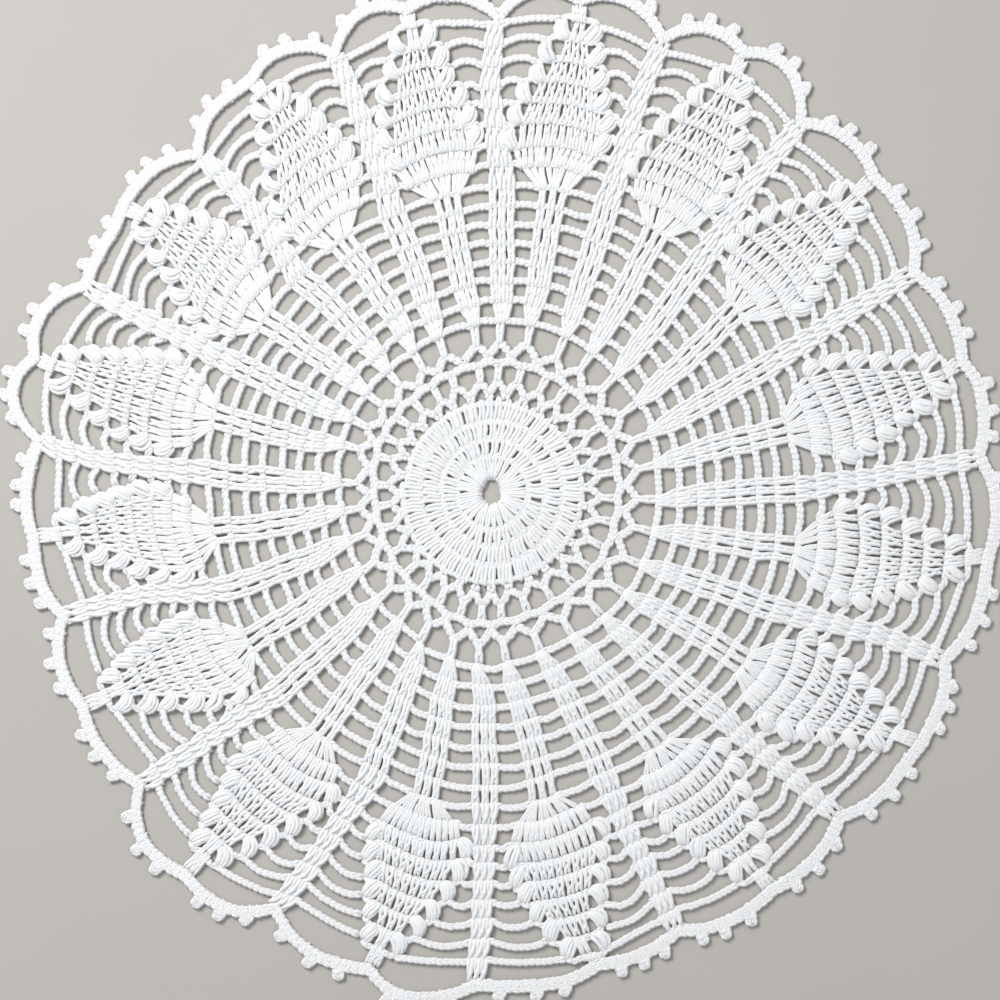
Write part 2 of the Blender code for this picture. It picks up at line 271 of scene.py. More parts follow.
def layShape(feet, tops, shape, footWidth=1.0, topWidth=1.0):
    feet, tops = feet.reshape(-1, 2), tops.reshape(-1, 2)
    across, up, height = np.array(shape).T
    along = tops - feet
    side = np.stack([along[:, 1], -along[:, 0]], -1) / np.linalg.norm(along, axis=1)[:, None]
    width = footWidth + (topWidth - footWidth) * np.clip(up, 0, 1)
    flat = feet[:, None] + along[:, None] * up[:, None] + side[:, None] * (across * width)[..., None]
    points = np.concatenate([flat, np.broadcast_to(height[:, None], flat.shape[:2] + (1,))], -1)
    points[..., :2] += chance.normal(0, thread["stray"], flat.shape)
    return points


def jitter(points):
    size = (len(points.reshape(-1, 2)), 2)
    return points.reshape(-1, 2) + chance.normal(0, thread["uneven"], size)


def legs(feet, tops, shapes, footWidth, topWidth, thick):
    return [
        (layShape(feet, tops, thread[name], footWidth, topWidth), thread["post"] * thick, thread["sides"])
        for name in shapes]


# Double crochets: two legs, and the thread wrapped over them.
def doubles(feet, tops, footWidth, topWidth, thick=1.0, shapes=("legLeft", "legRight"), wrapped=True):
    feet, tops = jitter(feet), jitter(tops)
    pair = legs(feet, tops, shapes, footWidth, topWidth, thick)
    if not wrapped:
        return pair
    over = layShape(feet, tops, thread["wrapOver"], footWidth, topWidth)
    return pair + [(over, thread["wrap"] * thick, thread["loopSides"])]


def ovals(feet, tops, footWidth, topWidth, thick, filled):  # the disc's doubles, drawn up rounder
    feet, tops = jitter(feet), jitter(tops)
    pair = legs(feet, tops, ("ovalLeft", "ovalRight"), footWidth, topWidth, thick)
    if not filled:
        return pair
    core = layShape(feet, tops, thread["core"])
    return pair + [(core, thread["post"], thread["loopSides"])]


def shorts(feet, tops, width, thick=1.0):  # single crochets
    return legs(jitter(feet), jitter(tops), ("shortLeft", "shortRight"), width, width, thick)


def chain(line, links, width=1.0, thick=1.0):  # links in a row, each over the end of the one before
    runOn, look = thread["runOn"], thread["lookAlong"]
    first, last = line[0] - line[1], line[-1] - line[-2]
    first, last = first / np.linalg.norm(first), last / np.linalg.norm(last)
    line = np.vstack([line[0] + runOn * first, line, line[-1] + runOn * last])
    reach = np.concatenate([[0], np.cumsum(np.linalg.norm(np.diff(line, axis=0), axis=1))])
    pitch = (reach[-1] - 2 * runOn) / links
    across, along, height = np.array(thread["link"]).T
    stops = runOn + (np.arange(links)[:, None] + along) * pitch

    def at(where):
        return np.stack([np.interp(where, reach, line[:, 0]), np.interp(where, reach, line[:, 1])], -1)

    ahead = at(stops + look) - at(stops - look)
    side = np.stack([ahead[..., 1], -ahead[..., 0]], -1) / np.linalg.norm(ahead, axis=-1)[..., None]
    flat = at(stops) + side * (across * width)[None, :, None]
    astray = chance.normal(0, thread["stray"], (links, 1, 2))
    flat += astray + chance.normal(0, thread["linkStray"], flat.shape)
    tip = np.maximum(chance.normal(0, thread["linkHeight"], (links, 1)) + height, thread["loop"])
    loops = (np.concatenate([flat, tip[..., None]], -1), thread["loop"] * thick, thread["loopSides"])
    spine = at(np.linspace(runOn, reach[-1] - runOn, links + 1))
    spine = np.concatenate([spine, np.full((links + 1, 1), thread["spineHeight"])], -1)
    return [loops, (spine[None], thread["spine"] * thick, thread["loopSides"])]


def linksFor(line, pitch):
    return max(1, round(np.linalg.norm(np.diff(line, axis=0), axis=1).sum() / pitch))


def sweep(paths, thick, sides):  # rings of points along each path
    ahead = np.gradient(paths, axis=1)
    ahead /= np.linalg.norm(ahead, axis=2, keepdims=True)
    steps = paths.shape[1]
    normal = np.empty_like(paths)
    steep = np.abs(ahead[:, 0, 2:]) > thread["steep"]
    turning = np.where(steep, (1.0, 0.3, 0.0), (0.0, 0.0, 1.0))  # any start that isn't along the path
    for step in range(steps):
        turning = turning - ahead[:, step] * (turning * ahead[:, step]).sum(1, keepdims=True)
        turning = turning / np.linalg.norm(turning, axis=1, keepdims=True)
        normal[:, step] = turning
    other = np.cross(ahead, normal)
    angle = (2 * math.pi * np.arange(sides) / sides)[:, None]
    taper = np.ones(steps)
    taper[[0, -1]] = thread["endTaper"]
    ring = np.cos(angle) * normal[:, :, None] + np.sin(angle) * other[:, :, None]
    return paths[:, :, None] + ring * (thick * taper)[None, :, None, None]


def makeFaces(first, many, steps, sides):  # walls along each strand, then a cap at each of its ends
    index = first + np.arange(many * steps * sides).reshape(many, steps, sides)
    low, high = index[:, :-1], index[:, 1:]
    walls = np.stack([low, np.roll(low, -1, 2), np.roll(high, -1, 2), high], -1).reshape(-1, 4)
    return walls.tolist() + index[:, 0, ::-1].tolist() + index[:, -1].tolist()


def windOn(paths, sides):  # the pattern's map: u round the strand, v along it in turns of the plies
    many, steps = paths.shape[:2]
    length = np.cumsum(np.linalg.norm(np.diff(paths, axis=1), axis=2), axis=1) / thread["plyTurn"]
    length = np.concatenate([np.zeros((many, 1)), length], 1) + chance.random((many, 1))
    u = np.broadcast_to(np.arange(sides + 1) / sides, (many, steps, sides + 1))
    uv = np.stack([u, np.broadcast_to(length[..., None], u.shape)], -1)
    corners = [uv[:, :-1, :-1], uv[:, :-1, 1:], uv[:, 1:, 1:], uv[:, 1:, :-1]]
    walls = np.stack(corners, 3).reshape(-1, 2)
    return [walls, uv[:, 0, sides - 1::-1].reshape(-1, 2), uv[:, -1, :sides].reshape(-1, 2)]


def makePiece(name, threads, material):
    points, faces, wound, tones = [], [], [], []
    first, triangles = 0, 0
    for paths, thick, sides in threads:
        paths = paths.copy()
        paths[..., 2] += lift(paths[..., :2])
        many, steps = paths.shape[:2]
        faces += makeFaces(first, many, steps, sides)
        wound += windOn(paths, sides)
        tones.append(np.repeat(chance.random(many), steps * sides))
        points.append(sweep(paths, thick, sides).reshape(-1, 3))
        first += many * steps * sides
        triangles += many * (2 * sides * (steps - 1) + 2 * (sides - 2))
    mesh = bpy.data.meshes.new(name)
    mesh.from_pydata(np.concatenate(points) * mm, [], faces)
    mesh.polygons.foreach_set("use_smooth", np.ones(len(faces), bool))
    mesh.uv_layers.new(name="wound").uv.foreach_set("vector", np.concatenate(wound).ravel())
    tone = mesh.attributes.new("tone", "FLOAT", "POINT")
    tone.data.foreach_set("value", np.concatenate(tones))
    mesh.materials.append(material)
    piece = bpy.data.objects.new(name, mesh)
    bpy.context.scene.collection.objects.link(piece)
    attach(piece, "root")
    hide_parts("doily")
    print(name, triangles, "triangles", round(piece.dimensions.x / mm), "mm across")
    return piece


class Wire:  # a socket that can be reckoned with
    def __init__(self, tree, socket=None):
        self.tree = tree
        self.socket = socket

    def node(self, kind, settings, values, out=0):
        made = self.tree.nodes.new(kind)
        for name, value in settings.items():
            setattr(made, name, value)
        for name, value in values.items():
            if isinstance(value, Wire):
                self.tree.links.new(value.socket, made.inputs[name])
            else:
                made.inputs[name].default_value = value
        return Wire(self.tree, made.outputs[out])

    def reckon(self, operation, first, second=0.0):
        return self.node("ShaderNodeMath", {"operation": operation}, {0: first, 1: second})

    def __add__(self, other):
        return self.reckon("ADD", self, other)

    def __radd__(self, other):
        return self.reckon("ADD", other, self)

    def __sub__(self, other):
        return self.reckon("SUBTRACT", self, other)

    def __rsub__(self, other):
        return self.reckon("SUBTRACT", other, self)

    def __mul__(self, other):
        return self.reckon("MULTIPLY", self, other)

    def __rmul__(self, other):
        return self.reckon("MULTIPLY", other, self)

    def sine(self):
        return self.reckon("SINE", self)


def mixColours(wire, share, first, second):  # a Mix node's colours are its sockets 6 and 7
    return wire.node("ShaderNodeMix", {"data_type": "RGBA"}, {0: share, 6: first, 7: second}, 2)


def noise(wire, place, scale, detail):
    return wire.node("ShaderNodeTexNoise", {}, {"Vector": place, "Scale": scale, "Detail": detail})


def newMaterial(name):
    material = bpy.data.materials.new(name)
    material.use_nodes = True
    tree = material.node_tree
    return material, Wire(tree), tree.nodes["Principled BSDF"]


cotton = {
    "cool": (0.845, 0.865, 0.885, 1.0),
    "warm": (0.880, 0.865, 0.835, 1.0),
    # painted shade: a grey laid into the grooves between the plies
    "plyShade": (0.70, 0.72, 0.74, 1.0),
    "fuzz": (1500.0, 3.0),  # scale and detail
    "cloud": (28.0, 2.0),
    "warmth": (0.25, 0.4, 0.35),  # everywhere, by the cloud, and from strand to strand
    "plyShadeShare": (0.16, 0.6, 0.8),  # how much painted shade goes into the grooves between the plies: the whole, then the even part and the fuzzy part
    "relief": (0.35, 0.9),  # the plies and the fuzz
    "reliefDepth": 0.00016,
    "bump": 0.55,
    "roughness": (0.82, 0.15),  # everywhere, and more by the fuzz
    "sheen": 0.25,
    "specular": 0.25,
}


def cottonMaterial():
    material, wire, shader = newMaterial("white_cotton")
    wound = wire.node("ShaderNodeUVMap", {"uv_map": "wound"}, {})
    u = wire.node("ShaderNodeSeparateXYZ", {}, {0: wound})
    v = Wire(wire.tree, u.socket.node.outputs[1])
    ply = (2 * math.pi * (thread["plies"] * u + thread["plies"] * v)).sine()
    place = wire.node("ShaderNodeTexCoord", {}, {}, "Object")
    fuzz = noise(wire, place, *cotton["fuzz"])
    cloud = noise(wire, place, *cotton["cloud"])
    tone = wire.node("ShaderNodeAttribute", {"attribute_name": "tone"}, {}, "Fac")
    allOver, clouded, strandly = cotton["warmth"]
    body = mixColours(
        wire, allOver + clouded * (cloud - 0.5) + strandly * tone, cotton["cool"], cotton["warm"])
    whole, even, fuzzy = cotton["plyShadeShare"]
    # painted shade: the grooves between the plies darkened towards that grey, more where the fuzz is
    colour = mixColours(wire, whole * (1 - ply) * (even + fuzzy * fuzz), body, cotton["plyShade"])
    plyRelief, fuzzRelief = cotton["relief"]
    bump = wire.node("ShaderNodeBump", {}, {
        "Height": plyRelief * ply + fuzzRelief * fuzz,
        "Strength": cotton["bump"],
        "Distance": cotton["reliefDepth"],
    })
    smooth, rough = cotton["roughness"]
    wire.tree.links.new(colour.socket, shader.inputs["Base Color"])
    wire.tree.links.new((smooth + rough * fuzz).socket, shader.inputs["Roughness"])
    wire.tree.links.new(bump.socket, shader.inputs["Normal"])
    shader.inputs["Sheen Weight"].default_value = cotton["sheen"]
    shader.inputs["Specular IOR Level"].default_value = cotton["specular"]
    return material


cottonThread = cottonMaterial()
print("cotton ready")

# The disc: a loop of thread, then four rounds. Each round: foot radius, head radius, stitches,
# and how wide its stitches are at foot and head.
disc = {
    "loop": 5.9,
    "loopThick": 0.85,
    "loopHeight": 0.95,
    "loopTurns": 1.02,  # its ends pass each other
    "loopPoints": 40,
    "oval": 0.1,
    "rounds": (
        (6.0, 16.4, 32, 0.3, 0.85), (16.4, 24.1, 32, 0.95, 1.2),
        (24.1, 32.3, 48, 1.0, 1.1), (32.3, 41.4, 64, 1.0, 1.04),
    ),
    "firstThick": 0.8,
    "topIn": 0.2,
    "ringWidths": (1.2, 1.2, 1.2, 0.8),
    "ringIn": (0.0, 0.3, 0.3, 1.6),
    "ringPoints": 160,
    "lean": 0.5,
    "swing": 0.07,
    "uneven": 0.35,
    "waves": 3,
    "phase": 6.0,
}


def ringSpot(angle, nominal):
    place = np.interp(np.degrees(angle), ringBearings[:, 0], ringNumbers)
    return onBed(angle, radius(place, nominal))


def ripple(angle):  # no round is a perfect circle
    return disc["uneven"] * np.sin(disc["waves"] * angle + chance.random() * disc["phase"])


def makeLoop():
    turn = np.linspace(0, 2 * math.pi * disc["loopTurns"], disc["loopPoints"])
    loop = ringSpot(turn, disc["loop"] * (1 + disc["oval"] * np.cos(2 * turn)))
    loop = np.concatenate([loop, np.full((disc["loopPoints"], 1), disc["loopHeight"])], -1)
    return [(loop[None], disc["loopThick"], thread["sides"])]


def makeDisc():
    threads = makeLoop()
    parts = zip(disc["rounds"], disc["ringWidths"], disc["ringIn"])
    for (foot, head, stitches, footWidth, headWidth), ringWidth, ringIn in parts:
        first = foot == disc["rounds"][0][0]
        angle = 2 * math.pi * (np.arange(stitches) + chance.random()) / stitches
        angle = angle + chance.normal(0, disc["swing"] / math.sqrt(stitches), stitches)
        uneven = ripple(angle)
        oval = disc["oval"] * foot * np.cos(2 * angle) * first
        tops = ringSpot(angle + disc["lean"] / head, head - disc["topIn"] + uneven)
        feet = ringSpot(angle, foot + uneven + oval)
        thick = disc["firstThick"] if first else 1.0
        threads += ovals(feet, tops, footWidth, headWidth, thick, not first)
        ring = np.linspace(2 * math.pi, 0, disc["ringPoints"]) + chance.random() * disc["phase"]
        threads += chain(ringSpot(ring, head - ringIn + ripple(ring)), stitches, ringWidth)
    return threads


# The net: two rounds of arches and pillars round the disc.
net = {
    "stubs": ((41.4, 43.6), (56.4, 59.4)),
    "arches": ((43.2, 49.0), (59.4, 65.2)),
    "archCurve": 1.25,
    "archPitch": 2.75,
    "pillars": ((49.2, 55.9), (65.2, 74.6)),
    "ring": 56.2,
    "ringRise": 1.3,
    "stubWidth": 1.4,
    "pillarWidth": 1.1,
    "widths": (1.25, 1.4),
    "thicks": (1.12, 1.18),
    "postThick": 1.2,
    "uneven": 0.5,
    "steps": 16,  # points across each gap
}
netPlaces = np.linspace(count, 0, count * net["steps"] + 1)


def archLine(low, high, wobble):  # it rises to every spoke
    rise = 1 - (2 * np.abs(netPlaces - np.round(netPlaces))) ** net["archCurve"]
    peak = wobble[(np.floor(netPlaces + 0.5) % count).astype(int)]
    return spot(netPlaces, low + (high - low) * rise + net["uneven"] * peak * rise)


def makeNet():
    threads = []
    middles = around + 0.5
    parts = zip(net["stubs"], net["arches"], net["pillars"], net["widths"], net["thicks"])
    for (stubFoot, stubTop), (archFoot, archTop), (foot, top), width, thick in parts:
        wobble = chance.normal(0, 1, count)
        threads += shorts(
            spot(middles, stubFoot), spot(middles, stubTop), net["stubWidth"], net["postThick"])
        line = archLine(archFoot, archTop, wobble)
        threads += chain(line, linksFor(line, net["archPitch"]), width, thick)
        threads += doubles(
            spot(around, foot, 0, net["uneven"] * wobble), spot(around, top),
            net["pillarWidth"], net["pillarWidth"], net["postThick"])
    line = spot(netPlaces, net["ring"] + net["ringRise"] * np.abs(np.sin(math.pi * netPlaces)))
    return threads + chain(line, linksFor(line, net["archPitch"]), net["widths"][-1], net["thicks"][-1])


makePiece("disc_and_net", makeDisc() + makeNet(), cottonThread)

# The ribs: three doubles a row on every spoke, seven rows, fanned out of the net's pillars.
ribs = {
    "rows": (1, 2, 3, 4, 7, 8, 10, 12, 16),
    "apart": (1.0, 3.05, 3.6, 4.05, 4.25, 4.3, 3.3, 2.95, 2.85),
    "width": (1.0, 1.05),
    "firstFoot": 0.6,
    "thick": 1.15,
    "headMore": 1.5,
    "headWidth": 1.1,
    "headLinks": 3,
    "headPoints": 9,
    "swell": {6: 0.2, 7: 0.4, 8: 0.7},  # rows bulge out where a pineapple follows
    "swellFalls": 0.6,
    "swellReach": 7.0,
    "lastTops": 4.8,  # the last row opens under a pineapple
    "lastWidth": 0.8,
    "lastHeadHalf": 6.1,
}
three = np.array([-1.0, 0.0, 1.0])


def apart(row):
    return np.interp(row, ribs["rows"], ribs["apart"])


def heads(number, row, half, peak, drop):  # the chain of stitch heads across a spoke's row
    aside = np.linspace(half, -half, ribs["headPoints"])
    out = peak * (1 - (aside / ribs["swellReach"]) ** 2) - drop
    return chain(rowSpot(number, row, aside, out), ribs["headLinks"], ribs["headWidth"])


def makeRibs():
    threads = []
    numbers = around[:, None]
    below = numbers % 2 == 1  # a pineapple follows
    share = below * (1 - ribs["swellFalls"] * three**2)
    for row in range(2, rows["plain"] + 1):
        swell, before = ribs["swell"].get(row, 0), ribs["swell"].get(row - 1, 0)
        fanned = below & (row == rows["plain"])
        tops = three * np.where(fanned, ribs["lastTops"], apart(row))
        footWidth = ribs["firstFoot"] if row == 2 else ribs["width"][0]
        topWidth = np.where(fanned, ribs["lastWidth"], ribs["width"][1]).repeat(3)[:, None]
        threads += doubles(
            rowSpot(numbers, row - 1, three * apart(row - 1), before * share),
            rowSpot(numbers, row, tops, swell * share),
            footWidth, topWidth, ribs["thick"], ("fullLeft", "fullRight"))
        for number in around:
            half = ribs["lastHeadHalf"] if fanned[number] else apart(row) + ribs["headMore"]
            threads += heads(number, row, half, swell * (number % 2), 0.0)
    return threads


makePiece("ribs", makeRibs(), cottonThread)

# The dividers: three doubles a row on every second spoke, up to the rim's valleys.
lastRow = rows["plain"] + rows["pineapple"]
divider = {
    "narrowing": (8, 10, 16),
    "width": (1.0, 0.95, 0.9),
    "wider": 1.08,
    "thick": 1.12,
    "headMore": 1.8,
    "behind": (-0.5, 0.5),  # strands behind the gaps between the doubles
    "valley": 3.2,
    "shortestCap": 3.0,
}


def dividerHalf(row):  # how far aside of the spoke the outer doubles stand
    return apart(row) * (divider["wider"] if row > rows["plain"] else 1)


def dividerSpot(row, share):
    return rowSpot(dividers[:, None], row, share * dividerHalf(row), -sag(rowTop(row)))


def makeCaps():  # from the last row to the rim, where there is room
    width, edge = divider["width"][-1], edges[dividers, None]
    feet = dividerSpot(lastRow, three)
    angle = np.radians(bearings[dividers, -1:]) + three * dividerHalf(lastRow) / edge
    ends = onBed(angle, edge - divider["valley"] + 0 * three)
    outward = feet / np.linalg.norm(feet, axis=-1, keepdims=True)
    kept = ((ends - feet) * outward).sum(-1) > divider["shortestCap"]
    return doubles(feet[kept], ends[kept], width, width, divider["thick"], ("twistLeft", "twistRight"))


def makeDividers():
    threads = []
    behind = np.array(divider["behind"])
    for row in range(rows["plain"] + 1, lastRow + 1):
        widths = np.interp((row - 1, row), divider["narrowing"], divider["width"])
        threads += doubles(
            dividerSpot(row - 1, three), dividerSpot(row, three), *widths,
            divider["thick"], ("twistLeft", "twistRight"))
        threads += legs(
            dividerSpot(row - 1, behind), dividerSpot(row, behind),
            ("core",), 1.0, 1.0, divider["thick"])
        for number in dividers:
            half = dividerHalf(row) + divider["headMore"]
            threads += heads(number, row, half, 0.0, sag(rowTop(row)))
    return threads + makeCaps()


makePiece("dividers", makeDividers(), cottonThread)

# The pineapples. Each row: its doubles, and its half width at foot and top. The longer lists give a
# value for the foot of the first row and one for the top of every row. The outside counts the puffs,
# and -1 is the side before the spoke, clockwise, and 1 the side after it.
pineapple = {
    "rows": (
        (9, 6.3, 14.6), (14, 14.6, 19.6), (11, 17.6, 17.8), (9, 16.8, 15.4),
        (7, 14.0, 12.8), (5, 10.4, 9.2), (3, 6.4, 5.3), (2, 3.0, 2.8),
    ),
    "shared": ((3, 3, 3), (2, 1, 2, 1, 2, 1, 2, 1, 2)),  # worked into each head of the row below
    "sharedSpread": (1.15, 1.6),
    "firstThick": 0.9,
    "firstWidths": (0.4, 0.75),
    "bulge": (0.7, 1.3, 1.8, 2.1, 2.2, 2.2, 2.2, 2.2, 2.2),
    "outside": {
        -1: (6.7, 16.6, 21.2, 24.6, 23.8, 21.2, 16.8, 13.2, 8.8),
        1: (6.7, 14.6, 19.6, 23.4, 22.8, 20.2, 17.8, 15.2, 11.4),
    },
    "endOut": {
        -1: (0.0, -1.2, -2.4, -3.4, -1.8, -1.2, -0.8, 0.0, 1.2),
        1: (0.0, 0.0, 0.0, 0.8, 0.8, 0.0, -0.4, -0.4, 0.4),
    },
    "flare": (1.0, 1.14, 1.08, 1.1, 1.08, 1.05, 1.0, 1.0, 1.0),  # the side before the spoke is wider
    "droop": (0.0, 1.0, 2.2, 1.6, 0.6, 0.0, 0.0, 0.0, 0.0),  # and lies nearer the middle
    "shift": (0.0, 0.0, 0.0, 0.0, 0.2, 0.4, 0.7, 0.9, 0.9),
    "leave": 5.8,
    "halfStitch": 1.55,
    "spare": 1.5,
    "leastWidth": 0.6,
    "mostWidth": 1.3,
    "thick": 1.06,
    "headWidth": 1.25,
    "headPoints": 11,
    "leastHead": 2.0,
}


def bulge(step, aside):
    edge = pineapple["outside"][1][step]
    return pineapple["bulge"][step] * np.clip(1 - (aside / edge) ** 2, 0, 1)


def squeeze(number, step, side):  # narrower where the next divider is near
    nominal = rowTop(rows["plain"] + step)
    room = np.abs(bearing(number + side, nominal) - bearing(number, nominal))
    room = room * radius(number + lay["sidePlace"] * side, nominal) - pineapple["leave"]
    return np.minimum(1, room / pineapple["outside"][side][step])


def bodySpot(number, step, aside):
    before = np.clip(-aside / pineapple["outside"][1][step], 0, 1)
    out = bulge(step, aside) - pineapple["droop"][step] * before**2
    wide = np.where(
        aside < 0, pineapple["flare"][step] * squeeze(number, step, -1), squeeze(number, step, 1))
    return rowSpot(number, rows["plain"] + step, aside * wide + pineapple["shift"][step], out)


def stitchPlaces(many, half):
    reach = max(half - pineapple["halfStitch"], 0.0)
    return np.linspace(-reach, reach, many) if many > 1 else np.zeros(1)


def footPlaces(step, many, half):  # the first rows work several stitches into one head below
    if step >= len(pineapple["shared"]):
        return stitchPlaces(many, half)
    shared, spread = pineapple["shared"][step], pineapple["sharedSpread"][step]
    below = stitchPlaces(len(shared), half)
    return np.concatenate([at + spread * (np.arange(n) - (n - 1) / 2) for at, n in zip(below, shared)])


def stitchWidth(many, half):  # what is left beside the thread, shared out
    spare = 2 * half / many - 2 * thread["post"] * pineapple["thick"]
    return np.clip(spare / pineapple["spare"], pineapple["leastWidth"], pineapple["mostWidth"])


def makePineapples():
    threads = []
    numbers = pineapples[:, None]
    for step, (many, footHalf, topHalf) in enumerate(pineapple["rows"]):
        feet = bodySpot(numbers, step, footPlaces(step, many, footHalf))
        tops = bodySpot(numbers, step + 1, stitchPlaces(many, topHalf))
        if step:
            widths = stitchWidth(many, footHalf), stitchWidth(many, topHalf)
            threads += doubles(feet, tops, *widths, pineapple["thick"], ("waistLeft", "waistRight"))
        else:
            widths = pineapple["firstWidths"]
            threads += doubles(feet, tops, *widths, pineapple["firstThick"], wrapped=False)
        aside = np.linspace(1, -1, pineapple["headPoints"]) * max(topHalf, pineapple["leastHead"])
        for number in pineapples:
            threads += chain(bodySpot(number, step + 1, aside), many, pineapple["headWidth"])
    return threads


# The puffs at the pineapples' sides, from their third row: loops drawn up together.
puff = {
    "firstRow": 3,
    "middles": {-1: (20.8, 20.0, 17.4, 13.0, 9.3, 4.8), 1: (19.6, 19.2, 16.4, 13.9, 11.3, 7.6)},
    "outs": {-1: (-3.0, -1.4, -0.8, -0.4, 0.2, 1.5), 1: (1.4, 1.5, 0.8, 0.6, 0.6, 1.4)},
    "aside": 0.5,
    "lean": {-1: 2.4, 1: 2.6},
    "bow": {-1: 2.1, 1: 0.8},
    "below": 4.8,
    "above": 4.3,
    "halfWidth": 3.35,
    "waist": 0.35,
    "blunt": 0.5,
    "base": 1.0,
    "height": 1.5,
    "strands": (-0.82, -0.42, 0.0, 0.42, 0.82),
    "under": (-0.5, 0.5),
    "points": 7,
    "thick": 1.08,
    "stray": 0.3,
    "wander": 0.4,
    "bridge": 1.2,  # a chain from the row's edge to the puff's top
    "bridgePitch": 2.9,
}


def puffShapes(side):  # strands drawn up together, bowed away from the pineapple
    share = np.linspace(0, 1, puff["points"])
    swell = np.clip(np.sin(math.pi * share), 0, 1) ** puff["blunt"]
    spread = puff["halfWidth"] * (puff["waist"] + (1 - puff["waist"]) * swell)
    bow = side * puff["bow"][side] * np.sin(math.pi * share)
    shapes = []
    for strand in puff["strands"]:
        height = puff["base"] + puff["height"] * math.sqrt(1 - strand**2) * swell
        shapes.append(np.stack([strand * spread + bow, share, height], -1))
    for strand in puff["under"]:
        shapes.append(np.stack([strand * spread + bow, share, puff["thick"] + 0 * share], -1))
    return shapes


def makeBridge(start, end, side):
    over = 0.5 * (start + end)
    line = np.array([start, over * (1 + puff["bridge"] / np.linalg.norm(over)), end])
    return chain(line[::side], linksFor(line, puff["bridgePitch"]))


def makePuffs():
    threads = []
    for place in range(len(puff["middles"][1])):
        step = puff["firstRow"] + place
        row = rows["plain"] + step
        centre = 0.5 * (rowTop(row) + rowTop(row - 1))
        rowEnd = pineapple["rows"][step - 1][2]
        pull = pullAside[pineapples, row] - puff["aside"]
        for side in (-1, 1):
            out, lean = puff["outs"][side][place], puff["lean"][side]
            wander, reach = chance.normal(0, puff["wander"], (2, len(pineapples)))
            middle = puff["middles"][side][place] * squeeze(pineapples, step, side) + wander
            feet = spot(pineapples, centre, side * (middle - lean) + pull, out - puff["below"])
            tops = spot(pineapples, centre, side * (middle + lean) + pull, out + puff["above"] + reach)
            feet, tops = jitter(feet), jitter(tops)
            for shape in puffShapes(side):
                strand = layShape(feet, tops, shape)
                strand[:, 1:-1, :2] += chance.normal(0, puff["stray"], (len(feet), 1, 2))
                threads.append((strand, puff["thick"], thread["sides"]))
            for number, top in zip(pineapples, tops):
                threads += makeBridge(bodySpot(number, step, side * rowEnd), top, side)
    return threads


makePiece("pineapples", makePineapples(), cottonThread)
makePiece("puffs", makePuffs(), cottonThread)

# The chain bars across the gaps.
bars = {
    "pitch": 2.8,
    "points": 11,
    "ladder": (1.14, 1.08),  # width and thickness
    "swept": (1.1, 1.08),
    "tuck": 0.5,
    "arch": 0.5,
    "sweep": {9: 0.1, 10: 0.2, 11: 0.3, 12: 0.5, 13: 0.6, 14: 0.7, 15: 0.6, 16: -1.0},  # more, by row
    "mostArch": 0.22,  # of the bar's length
    "archUneven": 0.4,
    "halfPillar": 1.6,
}


def barEnd(number, row, side):  # how far aside of the spoke a bar ends, and how far out of its row
    if row == 1:
        return bars["halfPillar"], 0.0
    if number % 2 and row >= rows["plain"]:
        step = row - rows["plain"]
        aside = pineapple["outside"][side][step] * squeeze(number, step, side)
        return aside, pineapple["endOut"][side][step]
    if row > rows["plain"]:
        return dividerHalf(row) + divider["headMore"], -sag(rowTop(row))
    return apart(row) + ribs["headMore"], 0.0


def barLine(gap, row):
    nominal = rowTop(row)
    ends, outs = [], []
    for number, side in ((gap, 1), (gap + 1, -1)):
        home = number % count
        aside, out = barEnd(number, row, side)
        distance = radius(number + lay["sidePlace"] * side, nominal) + out + pullOut[home, row]
        aside = side * (aside - bars["tuck"]) + pullAside[home, row]
        ends.append((bearing(number, nominal) + aside / distance, distance))
        outs.append(out)
    (startAngle, startOut), (endAngle, endOut) = ends
    arch = bars["arch"] - 0.5 * sum(outs) + bars["sweep"].get(row, 0)
    arch = arch + bars["archUneven"] * chance.normal()
    arch = min(arch, bars["mostArch"] * (endAngle - startAngle) * nominal)
    share = np.linspace(1, 0, bars["points"])
    angle = startAngle + (endAngle - startAngle) * share
    return onBed(angle, startOut + (endOut - startOut) * share + 4 * share * (1 - share) * arch)


def makeBars(lowest, highest, kind):
    threads = []
    width, thick = bars[kind]
    for row in range(lowest, highest + 1):
        for gap in range(count):
            line = barLine(gap, row)
            threads += chain(line, linksFor(line, bars["pitch"]), width, thick)
    return threads


makePiece("ladder_bars", makeBars(1, rows["plain"], "ladder"), cottonThread)
makePiece("swept_bars", makeBars(rows["plain"] + 1, lastRow, "swept"), cottonThread)

# The rim: chain arches, single crochets over them, picots on those, and the pineapples' tips.
rim = {
    "band": 5.2,
    "apex": 0.65,  # where the arch is highest, a share of the way from the divider
    "valleyCurve": 2.2,
    "dipCurve": 1.8,
    "points": 24,  # across each gap
    "baseIn": 3.8,
    "basePitch": 2.8,
    "headIn": 1.3,
    "headPitch": 3.3,
    "chainWidth": 1.15,
    "chainThick": 1.05,
    "postPast": (1.1, 0.6),  # the single crochets pass both chains, in and out
    "postWidth": 1.05,
}
picot = {
    "places": (0.21, 0.47, 0.73),  # shares of the way from the divider
    "stray": 0.02,
    "lean": 0.25,
    "leanUneven": 0.25,
    "sunk": 0.2,
    "leg": 2.5,
    "turn": 1.55,
    "turnPoints": 9,
    "foot": (0.85, -0.8),  # share of the turn's half width, and how far out
    "links": 4,
    "width": 0.85,
    "core": ((-0.8, 1.4), (0.5, 1.4), (1.6, 1.5), (3.1, 1.2)),  # how far out, and how high
    "coreThick": 1.1,
}
tip = {
    "edgeMore": 0.6,
    "foot": 1.9,
    "footOut": 1.5,
    "top": 2.2,
    "widths": (0.7, 0.8),
}


